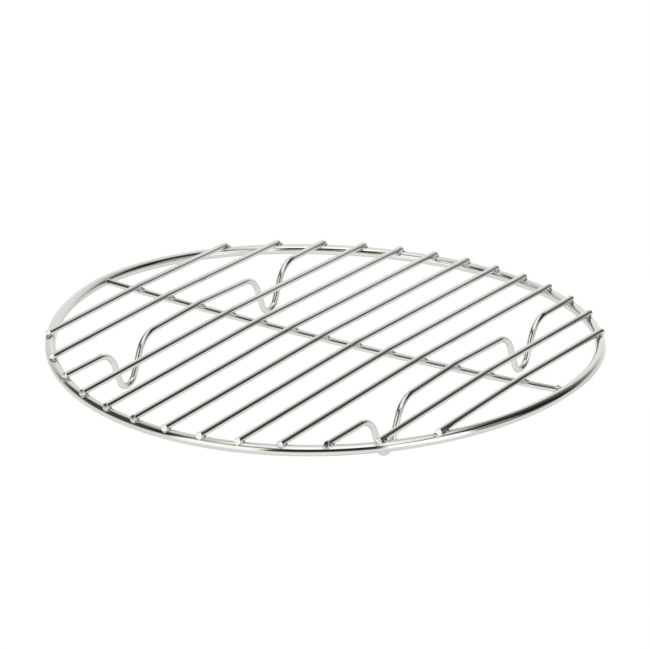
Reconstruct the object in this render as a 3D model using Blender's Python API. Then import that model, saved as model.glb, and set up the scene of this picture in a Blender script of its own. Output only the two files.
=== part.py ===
"""Round wire cooling rack, 280 mm across, on four bent wire feet.

The rack is welded from fifteen pieces of round stainless wire: a heavy rim, a spine across the
middle, and thirteen cross wires that lie on top of both. The third wire from each side carries
two U-shaped feet, bent into the wire itself.

Frame: +Z up, origin on the table under the middle of the rim. X runs along the spine and Y runs
along the cross wires. All lengths are in metres.
"""

import math

import bmesh
import bpy

MM = 0.001

# Rim: one closed loop of heavy wire. It bows down a little towards +Y and -Y.
RIM_OUTER_RADIUS = 140.2 * MM
RIM_WIRE_RADIUS = 2.7 * MM
RIM_HEIGHT = 24.75 * MM
RIM_BOW = 6.14 * MM
RIM_BOW_POWER = 1.49
RIM_SEGMENTS = 144

# Cross wires: parallel to Y, welded on top of the rim and crowned over the spine.
WIRE_RADIUS = 1.65 * MM
WIRE_COUNT = 13
WIRE_PITCH = 19.05 * MM
WIRE_REACH = 138.6 * MM
WIRE_CROWN = 2.34 * MM

# Leg wires: the places in the row of cross wires whose wires are bent into feet.
LEG_PLACES = {3: "leg_wire_left", 11: "leg_wire_right"}
FOOT_Y = 64.3 * MM
FOOT_SIDE_ANGLE = math.radians(66.5)
FOOT_BEND_RADIUS = 6.6 * MM
SHOULDER_RADIUS = 14.0 * MM
SHOULDER_RISE = 0.25 * MM
FOOT_BEND_STEPS = 9
SHOULDER_STEPS = 6

# Spine: parallel to X, under every cross wire, its ends butted on the inside of the rim.
SPINE_RADIUS = 1.65 * MM
SPINE_SEGMENTS = 28

# Welds: how far two wires are pressed into each other, and the gap left between two solids. The
# spine is pressed less towards its ends, so it lies lower under the wires there.
WELD_SINK = 0.65 * MM
SPINE_SINK = 0.50 * MM
SPINE_END_DROP = 0.55 * MM
CLEARANCE = 0.3 * MM

# Every wire is a 12-sided tube. A Blender bevel has 4 + 2 * resolution sides.
BEVEL_RESOLUTION = 4
SIDES = 4 + 2 * BEVEL_RESOLUTION
HALF_FACET = math.pi / SIDES
WELD_DISTANCE = 0.001 * MM

RIM_RADIUS = RIM_OUTER_RADIUS - RIM_WIRE_RADIUS


def clear_scene():
    for obj in list(bpy.data.objects):
        bpy.data.objects.remove(obj, do_unlink=True)


def new_collection(name):
    collection = bpy.data.collections.new(name)
    bpy.context.scene.collection.children.link(collection)
    return collection


def steel(name, color, roughness):
    """Bare stainless steel with the finish of one piece."""
    material = bpy.data.materials.new(name)
    material.use_nodes = True
    shader = material.node_tree.nodes["Principled BSDF"]
    shader.inputs["Base Color"].default_value = (*color, 1.0)
    shader.inputs["Roughness"].default_value = roughness
    shader.inputs["Metallic"].default_value = 1.0
    return material


def wire_curve(name, points, radius, collection, closed=False, turn=0.0):
    """A round wire along the points. turn rotates its facets about its own length."""
    curve = bpy.data.curves.new(name, "CURVE")
    curve.dimensions = "3D"
    curve.bevel_depth = radius
    curve.bevel_resolution = BEVEL_RESOLUTION
    curve.use_fill_caps = True
    spline = curve.splines.new("POLY")
    spline.points.add(len(points) - 1)
    for spline_point, position in zip(spline.points, points):
        spline_point.co = (*position, 1.0)
        spline_point.tilt = turn
    spline.use_cyclic_u = closed
    wire = bpy.data.objects.new(name, curve)
    collection.objects.link(wire)
    return wire


def as_mesh(wire, collection):
    """Turn a wire's curve into a closed mesh, with its end caps welded on."""
    bpy.context.view_layer.update()
    depsgraph = bpy.context.evaluated_depsgraph_get()
    mesh = bpy.data.meshes.new_from_object(wire.evaluated_get(depsgraph))
    welded = bmesh.new()
    welded.from_mesh(mesh)
    bmesh.ops.remove_doubles(welded, verts=welded.verts, dist=WELD_DISTANCE)
    welded.to_mesh(mesh)
    welded.free()
    name = wire.name
    matrix = wire.matrix_world.copy()
    bpy.data.objects.remove(wire, do_unlink=True)
    solid = bpy.data.objects.new(name, mesh)
    solid.matrix_world = matrix
    collection.objects.link(solid)
    return solid


def rim_z(y):
    """Height of the rim's centreline at a distance y from the spine."""
    return RIM_HEIGHT - RIM_BOW * (abs(y) / RIM_OUTER_RADIUS) ** RIM_BOW_POWER


def rim_y(x):
    """Where the rim's centreline stands at a place x along the spine."""
    return math.sqrt(RIM_RADIUS**2 - x**2)


def wire_end_z(x):
    """Height of a cross wire's centreline where it lies on the rim."""
    return rim_z(rim_y(x)) + RIM_WIRE_RADIUS + WIRE_RADIUS - WELD_SINK


def wire_crown_z(x):
    """Height of a cross wire's centreline where it lies on the spine."""
    return wire_end_z(x) + WIRE_CROWN * rim_y(x) / RIM_OUTER_RADIUS


def spine_z(x):
    """Height of the spine's centreline, which follows the crown of the cross wires."""
    sink = SPINE_SINK - SPINE_END_DROP * (x / RIM_RADIUS) ** 2
    return wire_crown_z(x) - WIRE_RADIUS - SPINE_RADIUS + sink


def arc(center, radius, start, end, steps):
    """Points in the YZ plane on an arc, from the start angle to the end angle."""
    angles = [start + (end - start) * step / steps for step in range(steps + 1)]
    return [
        (center[0] + radius * math.cos(angle), center[1] + radius * math.sin(angle))
        for angle in angles
    ]


def shoulder(corner, slope_in, slope_out, outward):
    """The rounded bend at the top of a foot, between a deck stretch and the foot's side."""
    turn = slope_out - slope_in
    set_back = SHOULDER_RADIUS * math.tan(abs(turn) / 2)
    start_y = corner[0] - set_back * math.cos(slope_in)
    start_z = corner[1] - set_back * math.sin(slope_in)
    center = (
        start_y + SHOULDER_RADIUS * math.sin(slope_in),
        start_z - SHOULDER_RADIUS * math.cos(slope_in),
    )
    quarter = math.pi / 2
    bend = arc(center, SHOULDER_RADIUS, slope_in + quarter, slope_out + quarter, SHOULDER_STEPS)
    return bend if outward else list(reversed(bend))


def half_leg_profile(x):
    """(y, z) points of one leg wire from the spine out to its +Y end."""
    crown = (0.0, wire_crown_z(x))
    end = (math.sqrt(WIRE_REACH**2 - x**2), wire_end_z(x))

    # The bottom bend's lowest facet lies flat on the table.
    facet_height = WIRE_RADIUS * math.cos(HALF_FACET)
    half_step = FOOT_SIDE_ANGLE / FOOT_BEND_STEPS
    bend_center = (FOOT_Y, facet_height + FOOT_BEND_RADIUS * math.cos(half_step))
    down = -math.pi / 2
    bottom = arc(
        bend_center,
        FOOT_BEND_RADIUS,
        down - FOOT_SIDE_ANGLE,
        down + FOOT_SIDE_ANGLE,
        FOOT_BEND_STEPS,
    )

    # The sides run up from the bend to the deck, and meet it at the shoulder corners.
    tip_z = bend_center[1] - FOOT_BEND_RADIUS / math.cos(FOOT_SIDE_ANGLE)
    inner_z = end[1] + SHOULDER_RISE
    inner_corner = (FOOT_Y - (inner_z - tip_z) / math.tan(FOOT_SIDE_ANGLE), inner_z)
    outer_corner = (FOOT_Y + (end[1] - tip_z) / math.tan(FOOT_SIDE_ANGLE), end[1])
    fall = math.atan2(inner_corner[1] - crown[1], inner_corner[0])
    inner = shoulder(inner_corner, fall, -FOOT_SIDE_ANGLE, outward=True)
    outer = shoulder((-outer_corner[0], outer_corner[1]), 0.0, -FOOT_SIDE_ANGLE, outward=False)
    outer = [(-y, z) for y, z in outer]
    return [crown, *inner, *bottom, *outer, end]


def straight_wire_path(x):
    """A straight cross wire, pressed down at its ends and crowned over the spine."""
    reach = math.sqrt(WIRE_REACH**2 - x**2)
    fall = (wire_crown_z(x) - wire_end_z(x)) / rim_y(x)
    end_z = wire_crown_z(x) - fall * reach
    return [(x, -reach, end_z), (x, 0.0, wire_crown_z(x)), (x, reach, end_z)]


def leg_wire_path(x):
    """A cross wire with a U-shaped foot bent into each half."""
    half = half_leg_profile(x)
    mirrored = [(-y, z) for y, z in reversed(half[1:])]
    return [(x, y, z) for y, z in mirrored + half]


def rim_path():
    path = []
    for step in range(RIM_SEGMENTS):
        angle = 2 * math.pi * step / RIM_SEGMENTS
        y = RIM_RADIUS * math.sin(angle)
        path.append((RIM_RADIUS * math.cos(angle), y, rim_z(y)))
    return path


def spine_path():
    reach = RIM_RADIUS - RIM_WIRE_RADIUS - CLEARANCE
    places = [reach * (2 * step / SPINE_SEGMENTS - 1) for step in range(SPINE_SEGMENTS + 1)]
    return [(x, 0.0, spine_z(x)) for x in places]


def make_rim(rack):
    rim = wire_curve("rim_ring", rim_path(), RIM_WIRE_RADIUS, rack, closed=True)
    rim.data.materials.append(steel("rim_ring_steel", (0.66, 0.65, 0.63), 0.24))


def make_spine(rack):
    spine = wire_curve("spine_wire", spine_path(), SPINE_RADIUS, rack)
    spine.data.materials.append(steel("spine_wire_steel", (0.60, 0.59, 0.56), 0.20))


def make_seat_cutters(cutters):
    """The rim and spine grown by the clearance. They cut the seats under the cross wires."""
    rim_seat = wire_curve(
        "rim_seat", rim_path(), RIM_WIRE_RADIUS + CLEARANCE, cutters, closed=True
    )
    spine_seat = wire_curve("spine_seat", spine_path(), SPINE_RADIUS + CLEARANCE, cutters)
    seats = [as_mesh(rim_seat, cutters), as_mesh(spine_seat, cutters)]
    for seat in seats:
        seat.hide_render = True
        seat.display_type = "WIRE"
    return seats


def make_cross_wire(place, rack, seats):
    """One wire of the row. It rests in shallow seats where it crosses the rim and the spine."""
    x = (place - (WIRE_COUNT + 1) / 2) * WIRE_PITCH
    is_leg = place in LEG_PLACES
    name = LEG_PLACES.get(place, f"cross_wire_{place:02d}")
    path = leg_wire_path(x) if is_leg else straight_wire_path(x)
    turn = HALF_FACET if is_leg else 0.0
    wire = as_mesh(wire_curve(name, path, WIRE_RADIUS, rack, turn=turn), rack)
    wire.data.materials.append(steel(f"{name}_steel", (0.64, 0.63, 0.60), 0.18))
    wire.data.shade_smooth()
    wire.data.set_sharp_from_angle(angle=math.radians(40))
    for seat in seats:
        cut = wire.modifiers.new(seat.name, "BOOLEAN")
        cut.operation = "DIFFERENCE"
        cut.solver = "EXACT"
        cut.object = seat


def main():
    clear_scene()
    rack = new_collection("cooling_rack")
    cutters = new_collection("cutters")
    make_rim(rack)
    make_spine(rack)
    seats = make_seat_cutters(cutters)
    for place in range(1, WIRE_COUNT + 1):
        make_cross_wire(place, rack, seats)


main()
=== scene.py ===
"""Looks of the round wire cooling rack: fine wires, cut ends, weld marks, polished steel, studio.

Every wire is swept along the same centreline as its CAD node, so nothing changes size. Only the
back-left foot stands a little further in and most of the front ends a little further out, as they
do in the photo. The CAD solids keep a small gap at each weld; here the wires are pressed into
each other as the real welds are, with a ring of squeezed-out metal round each contact and a
frozen drop beside it.
"""

import math

import bpy
import numpy as np
from mathutils import Matrix, Vector, noise


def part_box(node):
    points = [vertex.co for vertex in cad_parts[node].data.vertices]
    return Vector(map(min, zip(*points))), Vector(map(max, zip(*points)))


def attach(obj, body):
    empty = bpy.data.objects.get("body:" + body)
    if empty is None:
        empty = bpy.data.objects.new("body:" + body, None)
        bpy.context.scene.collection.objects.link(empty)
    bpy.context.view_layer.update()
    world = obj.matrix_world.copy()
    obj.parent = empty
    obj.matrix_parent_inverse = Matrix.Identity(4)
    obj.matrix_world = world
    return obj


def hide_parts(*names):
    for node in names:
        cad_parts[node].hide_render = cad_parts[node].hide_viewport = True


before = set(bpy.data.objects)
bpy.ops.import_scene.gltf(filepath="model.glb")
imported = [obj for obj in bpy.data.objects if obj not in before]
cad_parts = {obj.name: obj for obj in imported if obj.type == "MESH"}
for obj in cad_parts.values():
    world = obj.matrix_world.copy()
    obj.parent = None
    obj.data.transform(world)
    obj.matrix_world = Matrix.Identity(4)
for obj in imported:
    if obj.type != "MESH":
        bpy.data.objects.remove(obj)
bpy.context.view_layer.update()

MM = 0.001
BODY = "root"

# ---------------------------------------------------------------- sizes
#
# What a node's box can tell is read from the CAD frame. The rest are the CAD's own dimensions.


def middle(low, high, axis):
    return (low[axis] + high[axis]) / 2


WIRE_NODES = sorted(
    (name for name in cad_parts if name.startswith(("cross_wire", "leg_wire"))),
    key=lambda name: middle(*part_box(name), 0),
)
LEG_NODES = [name for name in WIRE_NODES if name.startswith("leg_wire")]
MIDDLE_WIRE = WIRE_NODES[len(WIRE_NODES) // 2]

rim_low, rim_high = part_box("rim_ring")
middle_low, middle_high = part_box(MIDDLE_WIRE)
spine_low, spine_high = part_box("spine_wire")

RIM_OUTER_RADIUS = (rim_high.x - rim_low.x) / 2
RIM_WIRE_RADIUS = 2.7 * MM
RIM_RADIUS = RIM_OUTER_RADIUS - RIM_WIRE_RADIUS
RIM_HEIGHT = rim_high.z - RIM_WIRE_RADIUS
RIM_BOW_POWER = 1.49
RIM_BOW = (rim_high.z - rim_low.z - 2 * RIM_WIRE_RADIUS) * (
    RIM_OUTER_RADIUS / RIM_RADIUS
) ** RIM_BOW_POWER

WIRE_RADIUS = (middle_high.x - middle_low.x) / 2
WIRE_REACH = middle_high.y
WIRE_CROWN = 2.34 * MM
SPINE_RADIUS = (spine_high.y - spine_low.y) / 2
WELD_SINK = 0.65 * MM
SPINE_SINK = 0.50 * MM
SPINE_END_DROP = 0.55 * MM

FOOT_Y = 64.3 * MM
FOOT_SIDE_ANGLE = math.radians(66.5)
FOOT_BEND_RADIUS = 6.6 * MM
SHOULDER_RADIUS = 14.0 * MM
SHOULDER_RISE = 0.25 * MM

# ---------------------------------------------------------------- what only the looks have

BACK_LEFT_FOOT_IN = 1.5 * MM

# From this place in the row on, the cross wires reach further out at the front.
FIRST_LONG_PLACE = 4
FRONT_END_OUT = 1.0 * MM

# The spine's ends stop at this share of the rim wire's radius from its centreline.
SPINE_END_REACH = 0.96

# The ring of flash near the spine's +X end. Its rise is a share of the spine's radius.
SPINE_RING_RISE = 0.34
SPINE_RING_INSET = 1.5 * MM
SPINE_RING_WIDTH = 0.6 * MM

# How finely the wires are swept.
RIM_SIDES = 40
RIM_STATIONS = 540
WIRE_SIDES = 28
WIRE_STEP = 3.0 * MM
SPINE_COARSE_STATIONS = 240
SPINE_FINE_STATIONS = 41
SPINE_FINE_LENGTH = 5.0 * MM
FOOT_BEND_STEPS = 32
SHOULDER_STEPS = 20
SHARP_ANGLE = math.radians(50)

# The cut ends: a rounded edge, a face in rings, and the swelling that the weld has left. The
# swelling is the same all round by one share, and reaches downwards by the other.
END_ROUNDING = 0.24 * MM
END_ROUNDING_STEPS = 5
END_FACE_RINGS = (0.97, 0.8, 0.55, 0.3, 0.08)
UPSET_LENGTH = 1.5 * MM
UPSET_STEPS = 5
UPSET_EVEN = 0.35
UPSET_DOWN = 0.65

# What each mesh tells its material: a place on the wire, the direction round it, and 1 on a cut.
COORDS = "wire_coords"
AROUND = "wire_around"
CUT = "wire_cut"


# ---------------------------------------------------------------- centrelines


def rim_z(y):
    """Height of the rim's centreline at a distance y from the spine."""
    return RIM_HEIGHT - RIM_BOW * (abs(y) / RIM_OUTER_RADIUS) ** RIM_BOW_POWER


def rim_y(x):
    """Where the rim's centreline stands at a place x along the spine."""
    return math.sqrt(RIM_RADIUS**2 - x**2)


def wire_end_z(x):
    """Height of a cross wire's centreline where it lies on the rim."""
    return rim_z(rim_y(x)) + RIM_WIRE_RADIUS + WIRE_RADIUS - WELD_SINK


def wire_crown_z(x):
    """Height of a cross wire's centreline where it lies on the spine."""
    return wire_end_z(x) + WIRE_CROWN * rim_y(x) / RIM_OUTER_RADIUS


def spine_sink(x):
    """How far the spine is pressed into a cross wire at x."""
    return SPINE_SINK - SPINE_END_DROP * (x / RIM_RADIUS) ** 2


def spine_z(x):
    """Height of the spine's centreline, which follows the crown of the cross wires."""
    return wire_crown_z(x) - WIRE_RADIUS - SPINE_RADIUS + spine_sink(x)


def arc(center, radius, start, end, steps):
    """Points on an arc in the YZ plane, from the start angle to the end angle."""
    angles = np.linspace(start, end, steps + 1)
    return [
        (center[0] + radius * math.cos(angle), center[1] + radius * math.sin(angle))
        for angle in angles
    ]


def shoulder(corner, slope_in, slope_out):
    """The rounded bend between a deck stretch and the side of a foot, in (y, z)."""
    set_back = SHOULDER_RADIUS * math.tan(abs(slope_out - slope_in) / 2)
    start = (
        corner[0] - set_back * math.cos(slope_in),
        corner[1] - set_back * math.sin(slope_in),
    )
    center = (
        start[0] + SHOULDER_RADIUS * math.sin(slope_in),
        start[1] - SHOULDER_RADIUS * math.cos(slope_in),
    )
    quarter = math.pi / 2
    return arc(center, SHOULDER_RADIUS, slope_in + quarter, slope_out + quarter, SHOULDER_STEPS)


def half_leg_profile(x, foot_y):
    """(y, z) points of one leg wire from the spine out to its +Y end, with its foot at foot_y."""
    crown = (0.0, wire_crown_z(x))
    end = (math.sqrt(WIRE_REACH**2 - x**2), wire_end_z(x))
    bend_center = (foot_y, WIRE_RADIUS + FOOT_BEND_RADIUS)
    down = -math.pi / 2
    bottom = arc(
        bend_center,
        FOOT_BEND_RADIUS,
        down - FOOT_SIDE_ANGLE,
        down + FOOT_SIDE_ANGLE,
        FOOT_BEND_STEPS,
    )
    tip_z = bend_center[1] - FOOT_BEND_RADIUS / math.cos(FOOT_SIDE_ANGLE)
    inner_z = end[1] + SHOULDER_RISE
    inner_corner = (foot_y - (inner_z - tip_z) / math.tan(FOOT_SIDE_ANGLE), inner_z)
    outer_corner = (foot_y + (end[1] - tip_z) / math.tan(FOOT_SIDE_ANGLE), end[1])
    fall = math.atan2(inner_corner[1] - crown[1], inner_corner[0])
    inner = shoulder(inner_corner, fall, -FOOT_SIDE_ANGLE)
    outer = shoulder((-outer_corner[0], outer_corner[1]), 0.0, -FOOT_SIDE_ANGLE)
    outer = [(-y, z) for y, z in reversed(outer)]
    return [crown, *inner, *bottom, *outer, end]


def leg_path(x):
    """A cross wire with a U-shaped foot bent into each half."""
    front = half_leg_profile(x, FOOT_Y)
    back = half_leg_profile(x, FOOT_Y - (BACK_LEFT_FOOT_IN if x < 0 else 0.0))
    mirrored = [(-y, z) for y, z in reversed(front[1:])]
    return [(x, y, z) for y, z in mirrored + back]


def straight_path(x):
    """A straight cross wire, pressed down at its ends and crowned over the spine."""
    reach = math.sqrt(WIRE_REACH**2 - x**2)
    fall = (wire_crown_z(x) - wire_end_z(x)) / rim_y(x)
    ends_z = wire_crown_z(x) - fall * reach
    return [(x, -reach, ends_z), (x, 0.0, wire_crown_z(x)), (x, reach, ends_z)]


def rim_path():
    """The rim's centreline, a circle from above."""
    angles = np.linspace(0, 2 * math.pi, RIM_STATIONS, endpoint=False)
    return [
        (RIM_RADIUS * math.cos(a), RIM_RADIUS * math.sin(a), rim_z(RIM_RADIUS * math.sin(a)))
        for a in angles
    ]


def spine_path():
    """The spine's centreline, with closer points near its +X end for the ring of flash."""
    reach = RIM_RADIUS - RIM_WIRE_RADIUS * SPINE_END_REACH
    fine_from = reach - SPINE_FINE_LENGTH
    coarse = np.linspace(-reach, fine_from, SPINE_COARSE_STATIONS, endpoint=False)
    fine = np.linspace(fine_from, reach, SPINE_FINE_STATIONS)
    return [(x, 0.0, spine_z(x)) for x in (*coarse, *fine)]


def resample(points, step):
    """Points no further apart than step along the same line, every given corner kept."""
    dense = [np.array(points[0])]
    for start, end in zip(points[:-1], points[1:]):
        start, end = np.array(start), np.array(end)
        count = max(1, math.ceil(np.linalg.norm(end - start) / step))
        dense.extend(start + (end - start) * k / count for k in range(1, count + 1))
    return np.array(dense)


# ---------------------------------------------------------------- sweeping a wire


def unit(vectors):
    return vectors / np.linalg.norm(vectors, axis=-1, keepdims=True)


def tangents(points, closed):
    if closed:
        return unit(np.roll(points, -1, axis=0) - np.roll(points, 1, axis=0))
    return unit(np.gradient(points, axis=0))


def sweep(name, points, radii, side, sides, closed=False, ends=None):
    """A round wire along the points. side is a direction across the wire at each point.

    ends holds the face of each end of an open wire: how far the face is turned towards side, how
    far it is tipped up, both as slopes, how far its middle stands out, and how much the weld has
    upset the end, mostly downwards, as a share of the radius.
    """
    points = np.asarray(points, float)
    radii = np.broadcast_to(radii, len(points)).astype(float)
    along = tangents(points, closed)
    side = unit(side - (side * along).sum(1, keepdims=True) * along)
    up = np.cross(side, along)
    up *= np.sign(up[:, 2:3].sum() or 1.0)
    step = np.linalg.norm(np.diff(points, axis=0, append=points[:1]), axis=1)
    travel = np.concatenate([[0.0], np.cumsum(step[:-1])])

    plain = {"slant": (0.0, 0.0), "upset": 0.0, "cut": 0.0}
    rings = [
        {"center": c, "radius": r, "side": s, "up": u, "along": a, "travel": t, **plain}
        for c, r, s, u, a, t in zip(points, radii, side, up, along, travel)
    ]
    if not closed:
        rings = (
            cut_end(rings, ends[0], first=True) + rings[1:-1] + cut_end(rings, ends[1], first=False)
        )

    angles = np.linspace(0, 2 * math.pi, sides, endpoint=False)
    verts, coords, around, cut = [], [], [], []
    for ring in rings:
        for angle in angles:
            across, rise = math.cos(angle), math.sin(angle)
            radius = ring["radius"]
            slant = radius * (across * ring["slant"][0] + rise * ring["slant"][1])
            swell = 1 + ring["upset"] * (UPSET_EVEN - UPSET_DOWN * rise)
            place = ring["center"] + radius * swell * (across * ring["side"] + rise * ring["up"])
            verts.append(place + slant * ring["along"])
            coords.append((ring["travel"], radius * across, radius * rise))
            around.append(across * ring["up"] - rise * ring["side"])
            cut.append(ring["cut"])

    count = len(rings)
    faces = []
    for k in range(count if closed else count - 1):
        a, b = k * sides, (k + 1) % count * sides
        for j in range(sides):
            n = (j + 1) % sides
            faces.append((a + j, a + n, b + n, b + j))
    if not closed:
        faces.append(tuple(reversed(range(sides))))
        faces.append(tuple(range((count - 1) * sides, count * sides)))
    return build_mesh(name, verts, faces, coords, around, cut)


def cut_end(rings, face, first):
    """The rings of a cut end: upset a little, with a rounded edge and a slanted, domed face."""
    turn, tip, dome, upset = face
    end = rings[0] if first else rings[-1]
    outward = -1.0 if first else 1.0
    made = []

    def add(radius, push, cut=0.0, share=1.0):
        ring = dict(end)
        ring["radius"] = radius
        ring["center"] = end["center"] + outward * push * end["along"]
        ring["travel"] = end["travel"] + outward * push
        ring["slant"] = (-outward * turn * share, -outward * tip * share)
        ring["upset"] = upset * share
        ring["cut"] = cut
        made.append(ring)

    for share in np.linspace(0, 1, UPSET_STEPS, endpoint=False):
        add(end["radius"], -END_ROUNDING - UPSET_LENGTH * (1 - share), share=share**2)
    for angle in np.linspace(0, math.pi / 2, END_ROUNDING_STEPS + 1):
        inset = END_ROUNDING * (1 - math.cos(angle))
        add(end["radius"] - inset, END_ROUNDING * (math.sin(angle) - 1))
    edge = end["radius"] - END_ROUNDING
    for share in END_FACE_RINGS:
        add(edge * share, dome * (1 - share**2), cut=1.0)
    return list(reversed(made)) if first else made


def build_mesh(name, verts, faces, coords, around, cut):
    """A closed smooth mesh with its faces outwards and the attributes that its steel needs."""
    mesh = bpy.data.meshes.new(name)
    mesh.from_pydata([tuple(v) for v in verts], [], faces)
    for key, values in ((COORDS, coords), (AROUND, around)):
        attribute = mesh.attributes.new(key, "FLOAT_VECTOR", "POINT")
        attribute.data.foreach_set("vector", np.array(values, np.float32).ravel())
    attribute = mesh.attributes.new(CUT, "FLOAT", "POINT")
    attribute.data.foreach_set("value", np.array(cut, np.float32))
    mesh.validate()
    mesh.update()
    if signed_volume(mesh) < 0:
        mesh.flip_normals()
    mesh.shade_smooth()
    mesh.set_sharp_from_angle(angle=SHARP_ANGLE)
    piece = bpy.data.objects.new(name, mesh)
    bpy.context.scene.collection.objects.link(piece)
    return piece


def signed_volume(mesh):
    """Six times the mesh's volume, below zero where its faces point inwards."""
    mesh.calc_loop_triangles()
    co = np.array([v.co for v in mesh.vertices])
    tri = np.array([t.vertices for t in mesh.loop_triangles])
    a, b, c = co[tri[:, 0]], co[tri[:, 1]], co[tri[:, 2]]
    return float((a * np.cross(b, c)).sum())


# ---------------------------------------------------------------- welds

# The ring of squeezed-out metal at each crossing.
BEAD_RADIUS = 0.46 * MM
BEAD_SPREAD = 0.26 * MM
BEAD_FLATNESS = 0.8
BEAD_UNEVENNESS = 0.35
BEAD_LUMPS = 1.3
BEAD_STATIONS = 48
BEAD_SIDES = 16

# The drops beside the crossings. A size is along the wire, across it and outwards. The lean of
# the drops away from straight up is a slope on the rim and an angle on the spine.
RIM_DROP_REACH = 2.9 * MM
RIM_DROP_LEAN = 0.15
RIM_DROP_SIZE = (0.85 * MM, 0.50 * MM, 0.42 * MM)
BACK_DROP_SCALE = 0.78
SPINE_DROP_REACH = 1.95 * MM
SPINE_DROP_LEAN = math.radians(25)
SPINE_DROP_SIZE = (0.72 * MM, 0.60 * MM, 0.46 * MM)
DROP_UNEVENNESS = 0.30
DROP_LUMPS = 1.7
DROP_RINGS = 7
DROP_SIDES = 14
DROP_POLE = 0.02

# How far the places in the noise of one wire's welds lie from those of the next.
BEAD_SEED = 3.7
RIM_DROP_SEED = 2.3
SPINE_DROP_SEED = 1.9


def weld_bead(upper, lower, sink, seed):
    """The ring of metal squeezed out where one wire is pressed onto another.

    upper and lower are (centre, direction, radius) of the two wires at the crossing. The bead
    follows the line where their surfaces meet, a little outside it.
    """
    (top, top_dir, top_radius), (base, base_dir, base_radius) = upper, lower
    top_across = unit(np.array([-top_dir[1], top_dir[0], 0.0]))
    base_across = unit(np.array([-base_dir[1], base_dir[0], 0.0]))
    reach = sink + BEAD_SPREAD
    verts, coords, around, faces = [], [], [], []
    for k in range(BEAD_STATIONS):
        heading = 2 * math.pi * k / BEAD_STATIONS
        direction = np.array([math.cos(heading), math.sin(heading), 0.0])
        bend = (direction @ top_across) ** 2 / (2 * top_radius)
        bend += (direction @ base_across) ** 2 / (2 * base_radius)
        out = math.sqrt(reach / bend)
        place = direction * out
        top_gap = top[2] - math.sqrt(max(top_radius**2 - (place @ top_across) ** 2, 0.0))
        base_gap = base[2] + math.sqrt(max(base_radius**2 - (place @ base_across) ** 2, 0.0))
        middle_z = (top_gap + base_gap) / 2
        spot = Vector((math.cos(heading), math.sin(heading), seed)) * BEAD_LUMPS
        thick = BEAD_RADIUS * (1 + BEAD_UNEVENNESS * noise.noise(spot))
        center = np.array([top[0] + place[0], top[1] + place[1], middle_z])
        for j in range(BEAD_SIDES):
            angle = 2 * math.pi * j / BEAD_SIDES
            verts.append(
                center
                + thick * math.cos(angle) * direction
                + thick * BEAD_FLATNESS * math.sin(angle) * np.array([0.0, 0.0, 1.0])
            )
            coords.append((seed + heading * MM, thick * math.cos(angle), thick))
            around.append(-math.sin(angle) * direction + math.cos(angle) * np.array([0.0, 0.0, 1.0]))
    for k in range(BEAD_STATIONS):
        a, b = k * BEAD_SIDES, (k + 1) % BEAD_STATIONS * BEAD_SIDES
        for j in range(BEAD_SIDES):
            n = (j + 1) % BEAD_SIDES
            faces.append((a + j, a + n, b + n, b + j))
    return verts, faces, coords, around


def drop(center, along, outward, size, seed):
    """A small drop of weld metal that has frozen on a wire, as verts, faces and coordinates."""
    across = np.cross(outward, along)
    verts, coords, around, faces = [], [], [], []
    for k in range(DROP_RINGS + 1):
        tilt = math.pi * k / DROP_RINGS
        for j in range(DROP_SIDES):
            angle = 2 * math.pi * j / DROP_SIDES
            ring = math.sin(tilt) if 0 < k < DROP_RINGS else DROP_POLE
            axis = np.array([math.cos(tilt), ring * math.cos(angle), ring * math.sin(angle)])
            spot = Vector(axis * DROP_LUMPS) + Vector((seed, 0.0, 0.0))
            lump = 1 + DROP_UNEVENNESS * noise.noise(spot)
            step = axis * size * lump
            verts.append(center + step[0] * along + step[1] * across + step[2] * outward)
            coords.append((seed * MM + step[0], step[1], step[2]))
            around.append(-math.sin(angle) * across + math.cos(angle) * outward)
    for k in range(DROP_RINGS):
        a, b = k * DROP_SIDES, (k + 1) * DROP_SIDES
        for j in range(DROP_SIDES):
            n = (j + 1) % DROP_SIDES
            faces.append((a + j, a + n, b + n, b + j))
    faces.append(tuple(reversed(range(DROP_SIDES))))
    faces.append(tuple(range(DROP_RINGS * DROP_SIDES, (DROP_RINGS + 1) * DROP_SIDES)))
    return verts, faces, coords, around


def rim_drop(x, y, seed):
    """The drop beside the crossing at (x, y), towards +X on the rim's upper side."""
    scale = BACK_DROP_SCALE if y > 0 else 1.0
    angle = math.atan2(y, x) - math.copysign(1.0, y) * scale * RIM_DROP_REACH / RIM_RADIUS
    radial = np.array([math.cos(angle), math.sin(angle), 0.0])
    along = np.array([-math.sin(angle), math.cos(angle), 0.0])
    outward = unit(np.array([0.0, 0.0, 1.0]) + RIM_DROP_LEAN * radial)
    middle_y = RIM_RADIUS * math.sin(angle)
    core = RIM_RADIUS * radial + np.array([0.0, 0.0, rim_z(middle_y)])
    size = scale * np.array(RIM_DROP_SIZE)
    return drop(core + RIM_WIRE_RADIUS * outward, along, outward, size, seed)


def spine_drop(x, seed):
    """The drop beside the crossing at x, on the back of the spine's upper side."""
    outward = np.array([0.0, math.sin(SPINE_DROP_LEAN), math.cos(SPINE_DROP_LEAN)])
    core = np.array([x + SPINE_DROP_REACH, 0.0, spine_z(x)])
    along = np.array([1.0, 0.0, 0.0])
    return drop(core + SPINE_RADIUS * outward, along, outward, np.array(SPINE_DROP_SIZE), seed)


# ---------------------------------------------------------------- steel

STEEL_COLOR = (0.67, 0.66, 0.63)
ANISOTROPY = 0.6
CUT_ROUGHNESS = 0.12
ROUGHNESS_SPREAD = (0.8, 1.25)
BUMP_DEPTH = 0.02 * MM

# How fine the noise is: cells in a metre, along the wire and in the two directions across it.
BLOTCHES = (260.0, 500.0, 500.0)
DRAWN_LINES = (90.0, 9000.0, 9000.0)

# Most of a noise lies between these two values.
NOISE_RANGE = (0.3, 0.7)


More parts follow.
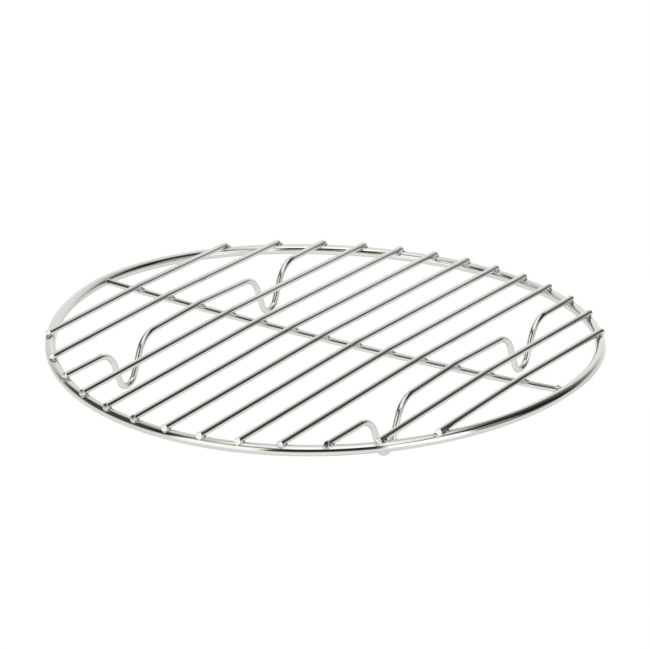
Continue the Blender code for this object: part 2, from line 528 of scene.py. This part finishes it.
def link(tree, source, output, target, socket):
    """Join two nodes by the names of their sockets."""
    tree.links.new(source.outputs[output], target.inputs[socket])


def math_node(tree, operation, first, second=None, clamp=False):
    """The result of a Math node whose inputs are numbers or other nodes' outputs."""
    node = tree.nodes.new("ShaderNodeMath")
    node.operation = operation
    node.use_clamp = clamp
    for socket, value in zip(node.inputs, (first, second)):
        if isinstance(value, (int, float)):
            socket.default_value = value
        elif value is not None:
            tree.links.new(value, socket)
    return node.outputs[0]


def scaled_coords(tree, scale):
    """The wire's own coordinates (along, and two across), stretched by scale."""
    where = tree.nodes.new("ShaderNodeAttribute")
    where.attribute_name = COORDS
    mapping = tree.nodes.new("ShaderNodeMapping")
    mapping.inputs["Scale"].default_value = scale
    link(tree, where, "Vector", mapping, "Vector")
    return mapping


def noise_of(tree, scale, detail=3.0):
    """Noise in the wire's own coordinates, so it stays on the wire."""
    texture = tree.nodes.new("ShaderNodeTexNoise")
    texture.inputs["Scale"].default_value = 1.0
    texture.inputs["Detail"].default_value = detail
    link(tree, scaled_coords(tree, scale), "Vector", texture, "Vector")
    return texture


def remap(tree, source, low, high):
    """A noise spread from low to high."""
    ranged = tree.nodes.new("ShaderNodeMapRange")
    ranged.inputs["From Min"].default_value = NOISE_RANGE[0]
    ranged.inputs["From Max"].default_value = NOISE_RANGE[1]
    ranged.inputs["To Min"].default_value = low
    ranged.inputs["To Max"].default_value = high
    link(tree, source, "Fac", ranged, "Value")
    return ranged


def steel(name, roughness, grain, streak, cut_ends=False):
    """Stainless wire: fine lines drawn along its length, faint blotches, uneven gloss.

    grain is how strongly the lines show as bumps, and streak how much they change the colour.
    A cut end is rougher than the rest of its wire, and shows no drawing.
    """
    material = bpy.data.materials.new(name)
    material.use_nodes = True
    tree = material.node_tree
    shader = tree.nodes["Principled BSDF"]
    shader.inputs["Metallic"].default_value = 1.0

    blotches = noise_of(tree, BLOTCHES)
    lines = noise_of(tree, DRAWN_LINES, detail=2.0)

    tint = tree.nodes.new("ShaderNodeMix")
    tint.data_type = "RGBA"
    tint.inputs["A"].default_value = (*[c * (1 - streak) for c in STEEL_COLOR], 1.0)
    tint.inputs["B"].default_value = (*[min(1.0, c * (1 + streak)) for c in STEEL_COLOR], 1.0)
    link(tree, remap(tree, lines, 0.0, 1.0), "Result", tint, "Factor")
    tree.links.new(tint.outputs["Result"], shader.inputs["Base Color"])

    gloss = remap(tree, blotches, *[roughness * share for share in ROUGHNESS_SPREAD])
    if cut_ends:
        cut = tree.nodes.new("ShaderNodeAttribute")
        cut.attribute_name = CUT
        rougher = math_node(tree, "MULTIPLY", cut.outputs["Fac"], CUT_ROUGHNESS)
        roughened = math_node(tree, "ADD", gloss.outputs["Result"], rougher)
        tree.links.new(roughened, shader.inputs["Roughness"])
        drawn = math_node(tree, "SUBTRACT", 1.0, cut.outputs["Fac"])
        stretched = math_node(tree, "MULTIPLY", drawn, ANISOTROPY)
        tree.links.new(stretched, shader.inputs["Anisotropic"])
    else:
        link(tree, gloss, "Result", shader, "Roughness")
        shader.inputs["Anisotropic"].default_value = ANISOTROPY

    bump = tree.nodes.new("ShaderNodeBump")
    bump.inputs["Strength"].default_value = grain
    bump.inputs["Distance"].default_value = BUMP_DEPTH
    link(tree, lines, "Fac", bump, "Height")
    link(tree, bump, "Normal", shader, "Normal")

    around = tree.nodes.new("ShaderNodeAttribute")
    around.attribute_name = AROUND
    link(tree, around, "Vector", shader, "Tangent")
    return material


def dress(piece, material, slot, *nodes):
    """Give the piece its steel and its body, and hide the CAD nodes that it stands for. slot is not
    used.
    """
    piece.data.materials.append(material)
    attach(piece, BODY)
    if nodes:
        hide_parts(*nodes)
    return piece


# ---------------------------------------------------------------- building the rack

# How the cropping tool and the weld left the ends: (turn, tip, dome, upset) as sweep takes them.
# The numbers of the front faces are the places of the wires in the row, from -X.
SQUARE = (0.0, 0.0, 0.0, 0.0)
BRIGHT = (0.19, 0.21, 0.03 * MM, 0.14)
GREY = (-0.02, 0.17, 0.12 * MM, 0.16)
DARK = (-0.10, 0.32, 0.13 * MM, 0.18)
DISHED = (0.03, 0.06, -0.12 * MM, 0.10)
FRONT_FACES = {
    1: (0.22, 0.10, 0.16 * MM, 0.06),
    2: (0.20, 0.12, 0.14 * MM, 0.06),
    3: (-0.04, 0.10, 0.16 * MM, 0.08),
    4: (-0.06, 0.24, 0.12 * MM, 0.20),
    5: DARK,
    6: DARK,
    7: (0.14, 0.20, 0.10 * MM, 0.14),
    8: BRIGHT,
    9: BRIGHT,
    10: (0.08, 0.06, 0.13 * MM, 0.14),
    11: (-0.14, 0.46, 0.10 * MM, 0.12),
    12: DISHED,
    13: (0.19, 0.21, 0.02 * MM, 0.22),
}
BACK_FACES = (GREY, DARK, BRIGHT)


def make_rim(material):
    """The rim, one closed loop."""
    points = np.array(rim_path())
    side = points * [1, 1, 0]
    rim = sweep("rim_ring_wire", points, RIM_WIRE_RADIUS, side, RIM_SIDES, closed=True)
    return dress(rim, material, "rim_steel", "rim_ring")


def make_spine(material):
    """The spine, with the ring of flash that its butt weld has left near its +X end."""
    points = np.array(spine_path())
    side = np.tile([0.0, 1.0, 0.0], (len(points), 1))
    from_end = points[-1, 0] - points[:, 0]
    from_ring = (from_end - SPINE_RING_INSET) / SPINE_RING_WIDTH
    radii = SPINE_RADIUS * (1 + SPINE_RING_RISE * np.exp(-(from_ring**2)))
    spine = sweep("spine_wire_fine", points, radii, side, WIRE_SIDES, ends=(SQUARE, SQUARE))
    return dress(spine, material, "spine_steel", "spine_wire")


def make_cross_wire(node, place, material):
    """One wire of the row, straight or with feet, at its place counted from -X."""
    x = middle(*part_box(node), 0)
    corners = leg_path(x) if node in LEG_NODES else straight_path(x)
    points = resample(corners, WIRE_STEP)
    if place >= FIRST_LONG_PLACE:
        points[0, 1] -= FRONT_END_OUT
    side = np.tile([1.0, 0.0, 0.0], (len(points), 1))
    ends = (FRONT_FACES[place], BACK_FACES[place % len(BACK_FACES)])
    wire = sweep(f"{node}_fine", points, WIRE_RADIUS, side, WIRE_SIDES, ends=ends)
    return dress(wire, material, "wire_steel", node)


def make_welds(node, place, material):
    """The three beads under one cross wire and the drops beside them, as one piece."""
    x = middle(*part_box(node), 0)
    along_y = np.array([0.0, 1.0, 0.0])
    ends_y = (-rim_y(x), rim_y(x))
    crossings = []
    for y in ends_y:
        top = (np.array([x, y, wire_end_z(x)]), along_y, WIRE_RADIUS)
        rim = (np.array([x, y, rim_z(y)]), unit(np.array([-y, x, 0.0])), RIM_WIRE_RADIUS)
        crossings.append((top, rim, WELD_SINK))
    top = (np.array([x, 0.0, wire_crown_z(x)]), along_y, WIRE_RADIUS)
    base = (np.array([x, 0.0, spine_z(x)]), np.array([1.0, 0.0, 0.0]), SPINE_RADIUS)
    crossings.append((top, base, spine_sink(x)))

    parts = [
        weld_bead(upper, lower, sink, place * BEAD_SEED + number)
        for number, (upper, lower, sink) in enumerate(crossings)
    ]
    parts += [rim_drop(x, y, place * RIM_DROP_SEED + number) for number, y in enumerate(ends_y)]
    parts.append(spine_drop(x, place * SPINE_DROP_SEED))

    verts, faces, coords, around = [], [], [], []
    for part_verts, part_faces, part_coords, part_around in parts:
        start = len(verts)
        verts += part_verts
        coords += part_coords
        around += part_around
        faces += [tuple(start + v for v in face) for face in part_faces]
    welds = build_mesh(f"welds_{place:02d}", verts, faces, coords, around, np.zeros(len(verts)))
    return dress(welds, material, "wire_steel")


# ---------------------------------------------------------------- studio

CAMERA_AZIMUTH = math.radians(32.843)
CAMERA_ELEVATION = math.radians(21.08)
CAMERA_ROLL = math.radians(0.323)
CAMERA_DISTANCE = 1.77075
CAMERA_LENS = 195.8
CAMERA_SENSOR = 36.0
AIM_RIGHT = -0.245 * MM
AIM_UP = 4.586 * MM


def make_camera():
    """The photo's camera. Azimuth 0 looks along +Y, and a positive one stands nearer to +X.

    It looks at the middle of the rack at the rim's height, moved a little in its own view.
    """
    flat = math.cos(CAMERA_ELEVATION)
    back = Vector(
        (
            math.sin(CAMERA_AZIMUTH) * flat,
            -math.cos(CAMERA_AZIMUTH) * flat,
            math.sin(CAMERA_ELEVATION),
        )
    )
    right = Vector((math.cos(CAMERA_AZIMUTH), math.sin(CAMERA_AZIMUTH), 0.0))
    up = back.cross(right)
    turn = Matrix.Rotation(CAMERA_ROLL, 3, back)
    right, up = turn @ right, turn @ up
    aim = Vector((0.0, 0.0, RIM_HEIGHT)) + AIM_RIGHT * right + AIM_UP * up
    camera = bpy.data.objects.new("camera", bpy.data.cameras.new("camera"))
    axes = Matrix((right, up, back)).transposed().to_4x4()
    camera.matrix_world = Matrix.Translation(aim + back * CAMERA_DISTANCE) @ axes
    camera.data.sensor_width = CAMERA_SENSOR
    camera.data.lens = CAMERA_LENS
    camera.data.clip_start = 0.05
    camera.data.clip_end = 100.0
    bpy.context.scene.collection.objects.link(camera)
    bpy.context.scene.camera = camera


FLOOR_HALF = 12.0
FLOOR_GLOW = 1.0
FLOOR_COLOR = 0.02


def make_floor():
    """A plain white floor that glows and takes almost no light, so hardly any shadow shows on it.

    The steel doesn't mirror it, because the table panels of the studio stand for it there.
    """
    mesh = bpy.data.meshes.new("floor")
    corners = [(-1, -1), (1, -1), (1, 1), (-1, 1)]
    mesh.from_pydata([(x * FLOOR_HALF, y * FLOOR_HALF, 0.0) for x, y in corners], [], [(0, 1, 2, 3)])
    floor = bpy.data.objects.new("floor", mesh)
    bpy.context.scene.collection.objects.link(floor)
    material = bpy.data.materials.new("white_floor")
    material.use_nodes = True
    shader = material.node_tree.nodes["Principled BSDF"]
    shader.inputs["Base Color"].default_value = (FLOOR_COLOR, FLOOR_COLOR, FLOOR_COLOR, 1.0)
    shader.inputs["Roughness"].default_value = 1.0
    shader.inputs["Specular IOR Level"].default_value = 0.0
    shader.inputs["Emission Color"].default_value = (1.0, 1.0, 1.0, 1.0)
    shader.inputs["Emission Strength"].default_value = FLOOR_GLOW
    mesh.materials.append(material)
    floor.visible_glossy = False


# Panels of the studio round the rack: azimuth from and to, elevation from and to, brightness, and
# how soft the edges are in azimuth and in elevation, with angles in degrees. Azimuth 0 is +X and
# 90 is +Y, and the camera looks in from azimuth -57. What no panel covers is the dark room. Later
# panels lie over earlier ones, and the near ones, which hang NEAR_RADIUS from the middle of the
# rack, lie over them all. A dim panel is warmer than a bright one.
ROOM_BRIGHTNESS = 0.02
DIM_COLOR = (1.0, 0.89, 0.75, 1.0)
PANELS = {
    "table": (-400, 400, -200, 3, 1.02, 7, 14),
    "table_front": (-88, -40, -200, -16, 1.14, 10, 10),
    "table_behind": (64, 165, -200, 10, 0.86, 10, 10),
    "behind_camera": (-90, -30, -12, 80, 0.040, 5, 11),
    "right_dark": (6, 62, -5, 64, 0.014, 6, 11),
    "edge_haze": (56, 90, 8, 44, 0.12, 5, 7),
    "right_spill": (-2, 24, -2, 34, 0.37, 6, 11),
    "right_low": (20, 42, 1, 13, 0.20, 8, 8),
    "front_haze": (-128, 4, 44, 80, 0.80, 9, 7),
    "front_top": (-84, -20, 49, 80, 2.05, 9, 6),
    "card_gap": (-104, -82, 38, 50, 0.05, 5, 4),
    "left_card": (-119, -82, -22, 37, 1.44, 4, 7),
    "right_card": (-35, 1, -22, 33, 1.66, 3, 7),
    "ceiling": (-400, 400, 62, 200, 1.25, 7, 7),
    "ceiling_back": (40, 125, 67, 200, 1.05, 15, 8),
    "ceiling_front": (-128, 0, 60, 200, 1.40, 12, 7),
    "right_corner": (50, 74, 44, 66, 0.14, 9, 6),
}
NEAR_RADIUS = 0.6
NEAR_PANELS = {
    "back_left": (150, 200, -6, 50, 0.74, 12, 10),
    "left_side": (181, 235, 5, 60, 0.08, 8, 12),
    "left_haze": (160, 232, 51, 66, 0.90, 8, 8),
    "backdrop": (74.5, 165, -12, 39, 1.05, 22, 6),
    "back_upper": (90, 160, 38, 64, 1.04, 30, 6),
}

# The part of the near dome that is built, in degrees: from, to and step.
NEAR_AZIMUTHS = (45, 256, 5)
NEAR_ELEVATIONS = (-25, 81, 5)


def soft_step(tree, value, edge, width):
    """0 below edge, 1 above it, with a smooth change of that width."""
    ranged = tree.nodes.new("ShaderNodeMapRange")
    ranged.interpolation_type = "SMOOTHSTEP"
    ranged.inputs["From Min"].default_value = edge - width
    ranged.inputs["From Max"].default_value = edge + width
    tree.links.new(value, ranged.inputs["Value"])
    return ranged.outputs["Result"]


def angles_of(tree, direction):
    """The azimuth and the elevation of a unit vector, in degrees."""
    parts = tree.nodes.new("ShaderNodeSeparateXYZ")
    tree.links.new(direction, parts.inputs["Vector"])
    azimuth = math_node(tree, "ARCTAN2", parts.outputs["Y"], parts.outputs["X"])
    elevation = math_node(tree, "ARCSINE", parts.outputs["Z"])
    return [math_node(tree, "MULTIPLY", angle, math.degrees(1.0)) for angle in (azimuth, elevation)]


def panel_mask(tree, angles, panel):
    """1 on the panel and 0 off it, with its soft edges."""
    azimuth, elevation = angles
    az_from, az_to, el_from, el_to, _, az_soft, el_soft = panel
    masks = []
    for turn in (-360.0, 0.0, 360.0):
        rise = soft_step(tree, azimuth, az_from + turn, az_soft)
        fall = soft_step(tree, azimuth, az_to + turn, az_soft)
        masks.append(math_node(tree, "SUBTRACT", rise, fall))
    mask = math_node(tree, "ADD", masks[0], masks[1])
    mask = math_node(tree, "ADD", mask, masks[2], clamp=True)
    rise = soft_step(tree, elevation, el_from, el_soft)
    fall = soft_step(tree, elevation, el_to, el_soft)
    return math_node(tree, "MULTIPLY", mask, math_node(tree, "SUBTRACT", rise, fall))


def make_world():
    """White to the camera; to the steel, a studio of white panels with dim gaps between them."""
    world = bpy.data.worlds.new("studio")
    world.use_nodes = True
    tree = world.node_tree
    background = tree.nodes["Background"]
    where = tree.nodes.new("ShaderNodeTexCoord")
    angles = angles_of(tree, where.outputs["Generated"])

    light = ROOM_BRIGHTNESS
    for panel in PANELS.values():
        blend = tree.nodes.new("ShaderNodeMix")
        tree.links.new(panel_mask(tree, angles, panel), blend.inputs["Factor"])
        if isinstance(light, float):
            blend.inputs["A"].default_value = light
        else:
            tree.links.new(light, blend.inputs["A"])
        blend.inputs["B"].default_value = panel[4]
        light = blend.outputs["Result"]

    rays = tree.nodes.new("ShaderNodeLightPath")
    seen = tree.nodes.new("ShaderNodeMix")
    link(tree, rays, "Is Camera Ray", seen, "Factor")
    tree.links.new(light, seen.inputs["A"])
    seen.inputs["B"].default_value = 1.0
    link(tree, seen, "Result", background, "Strength")
    hue = tree.nodes.new("ShaderNodeMix")
    hue.data_type = "RGBA"
    whiteness = math_node(tree, "POWER", seen.outputs["Result"], 0.5, clamp=True)
    tree.links.new(whiteness, hue.inputs["Factor"])
    hue.inputs["A"].default_value = DIM_COLOR
    hue.inputs["B"].default_value = (1.0, 1.0, 1.0, 1.0)
    link(tree, hue, "Result", background, "Color")
    bpy.context.scene.world = world
    bpy.context.scene.view_settings.view_transform = "Standard"


def make_near_panels():
    """The panels close behind the rack and to its left, on part of a dome.

    The camera doesn't see it and it casts no shadow, but the steel mirrors it.
    """
    turns = np.radians(np.arange(*NEAR_AZIMUTHS))
    lifts = np.radians(np.arange(*NEAR_ELEVATIONS))
    verts, faces = [], []
    for lift in lifts:
        for turn in turns:
            flat = NEAR_RADIUS * math.cos(lift)
            verts.append((flat * math.cos(turn), flat * math.sin(turn), NEAR_RADIUS * math.sin(lift)))
    for k in range(len(lifts) - 1):
        for j in range(len(turns) - 1):
            first = k * len(turns) + j
            faces.append((first, first + 1, first + 1 + len(turns), first + len(turns)))
    mesh = bpy.data.meshes.new("near_panels")
    mesh.from_pydata(verts, [], faces)
    mesh.shade_smooth()
    dome = bpy.data.objects.new("near_panels", mesh)
    dome.location = (0.0, 0.0, RIM_HEIGHT)
    bpy.context.scene.collection.objects.link(dome)

    material = bpy.data.materials.new("near_panels")
    material.use_nodes = True
    tree = material.node_tree
    tree.nodes.remove(tree.nodes["Principled BSDF"])
    where = tree.nodes.new("ShaderNodeTexCoord")
    outward = tree.nodes.new("ShaderNodeVectorMath")
    outward.operation = "NORMALIZE"
    link(tree, where, "Object", outward, 0)
    angles = angles_of(tree, outward.outputs["Vector"])
    shade = tree.nodes.new("ShaderNodeBsdfTransparent").outputs["BSDF"]
    for panel in NEAR_PANELS.values():
        glow = tree.nodes.new("ShaderNodeEmission")
        glow.inputs["Strength"].default_value = panel[4]
        share = min(1.0, math.sqrt(panel[4]))
        glow.inputs["Color"].default_value = [1 - (1 - tint) * (1 - share) for tint in DIM_COLOR]
        over = tree.nodes.new("ShaderNodeMixShader")
        tree.links.new(panel_mask(tree, angles, panel), over.inputs["Fac"])
        tree.links.new(shade, over.inputs[1])
        link(tree, glow, "Emission", over, 2)
        shade = over.outputs["Shader"]
    tree.links.new(shade, tree.nodes["Material Output"].inputs["Surface"])
    mesh.materials.append(material)
    dome.visible_camera = False
    dome.visible_shadow = False


# ---------------------------------------------------------------- putting it together

rim_steel = steel("rim_steel", roughness=0.10, grain=0.06, streak=0.05)
wire_steel = steel("wire_steel", roughness=0.09, grain=0.03, streak=0.04, cut_ends=True)
spine_steel = steel("spine_steel", roughness=0.07, grain=0.02, streak=0.03, cut_ends=True)
weld_steel = steel("weld_steel", roughness=0.08, grain=0.0, streak=0.02)

make_rim(rim_steel)
make_spine(spine_steel)
for place, node in enumerate(WIRE_NODES, start=1):
    make_cross_wire(node, place, wire_steel)
    make_welds(node, place, weld_steel)

make_camera()
make_floor()
make_world()
make_near_panels()
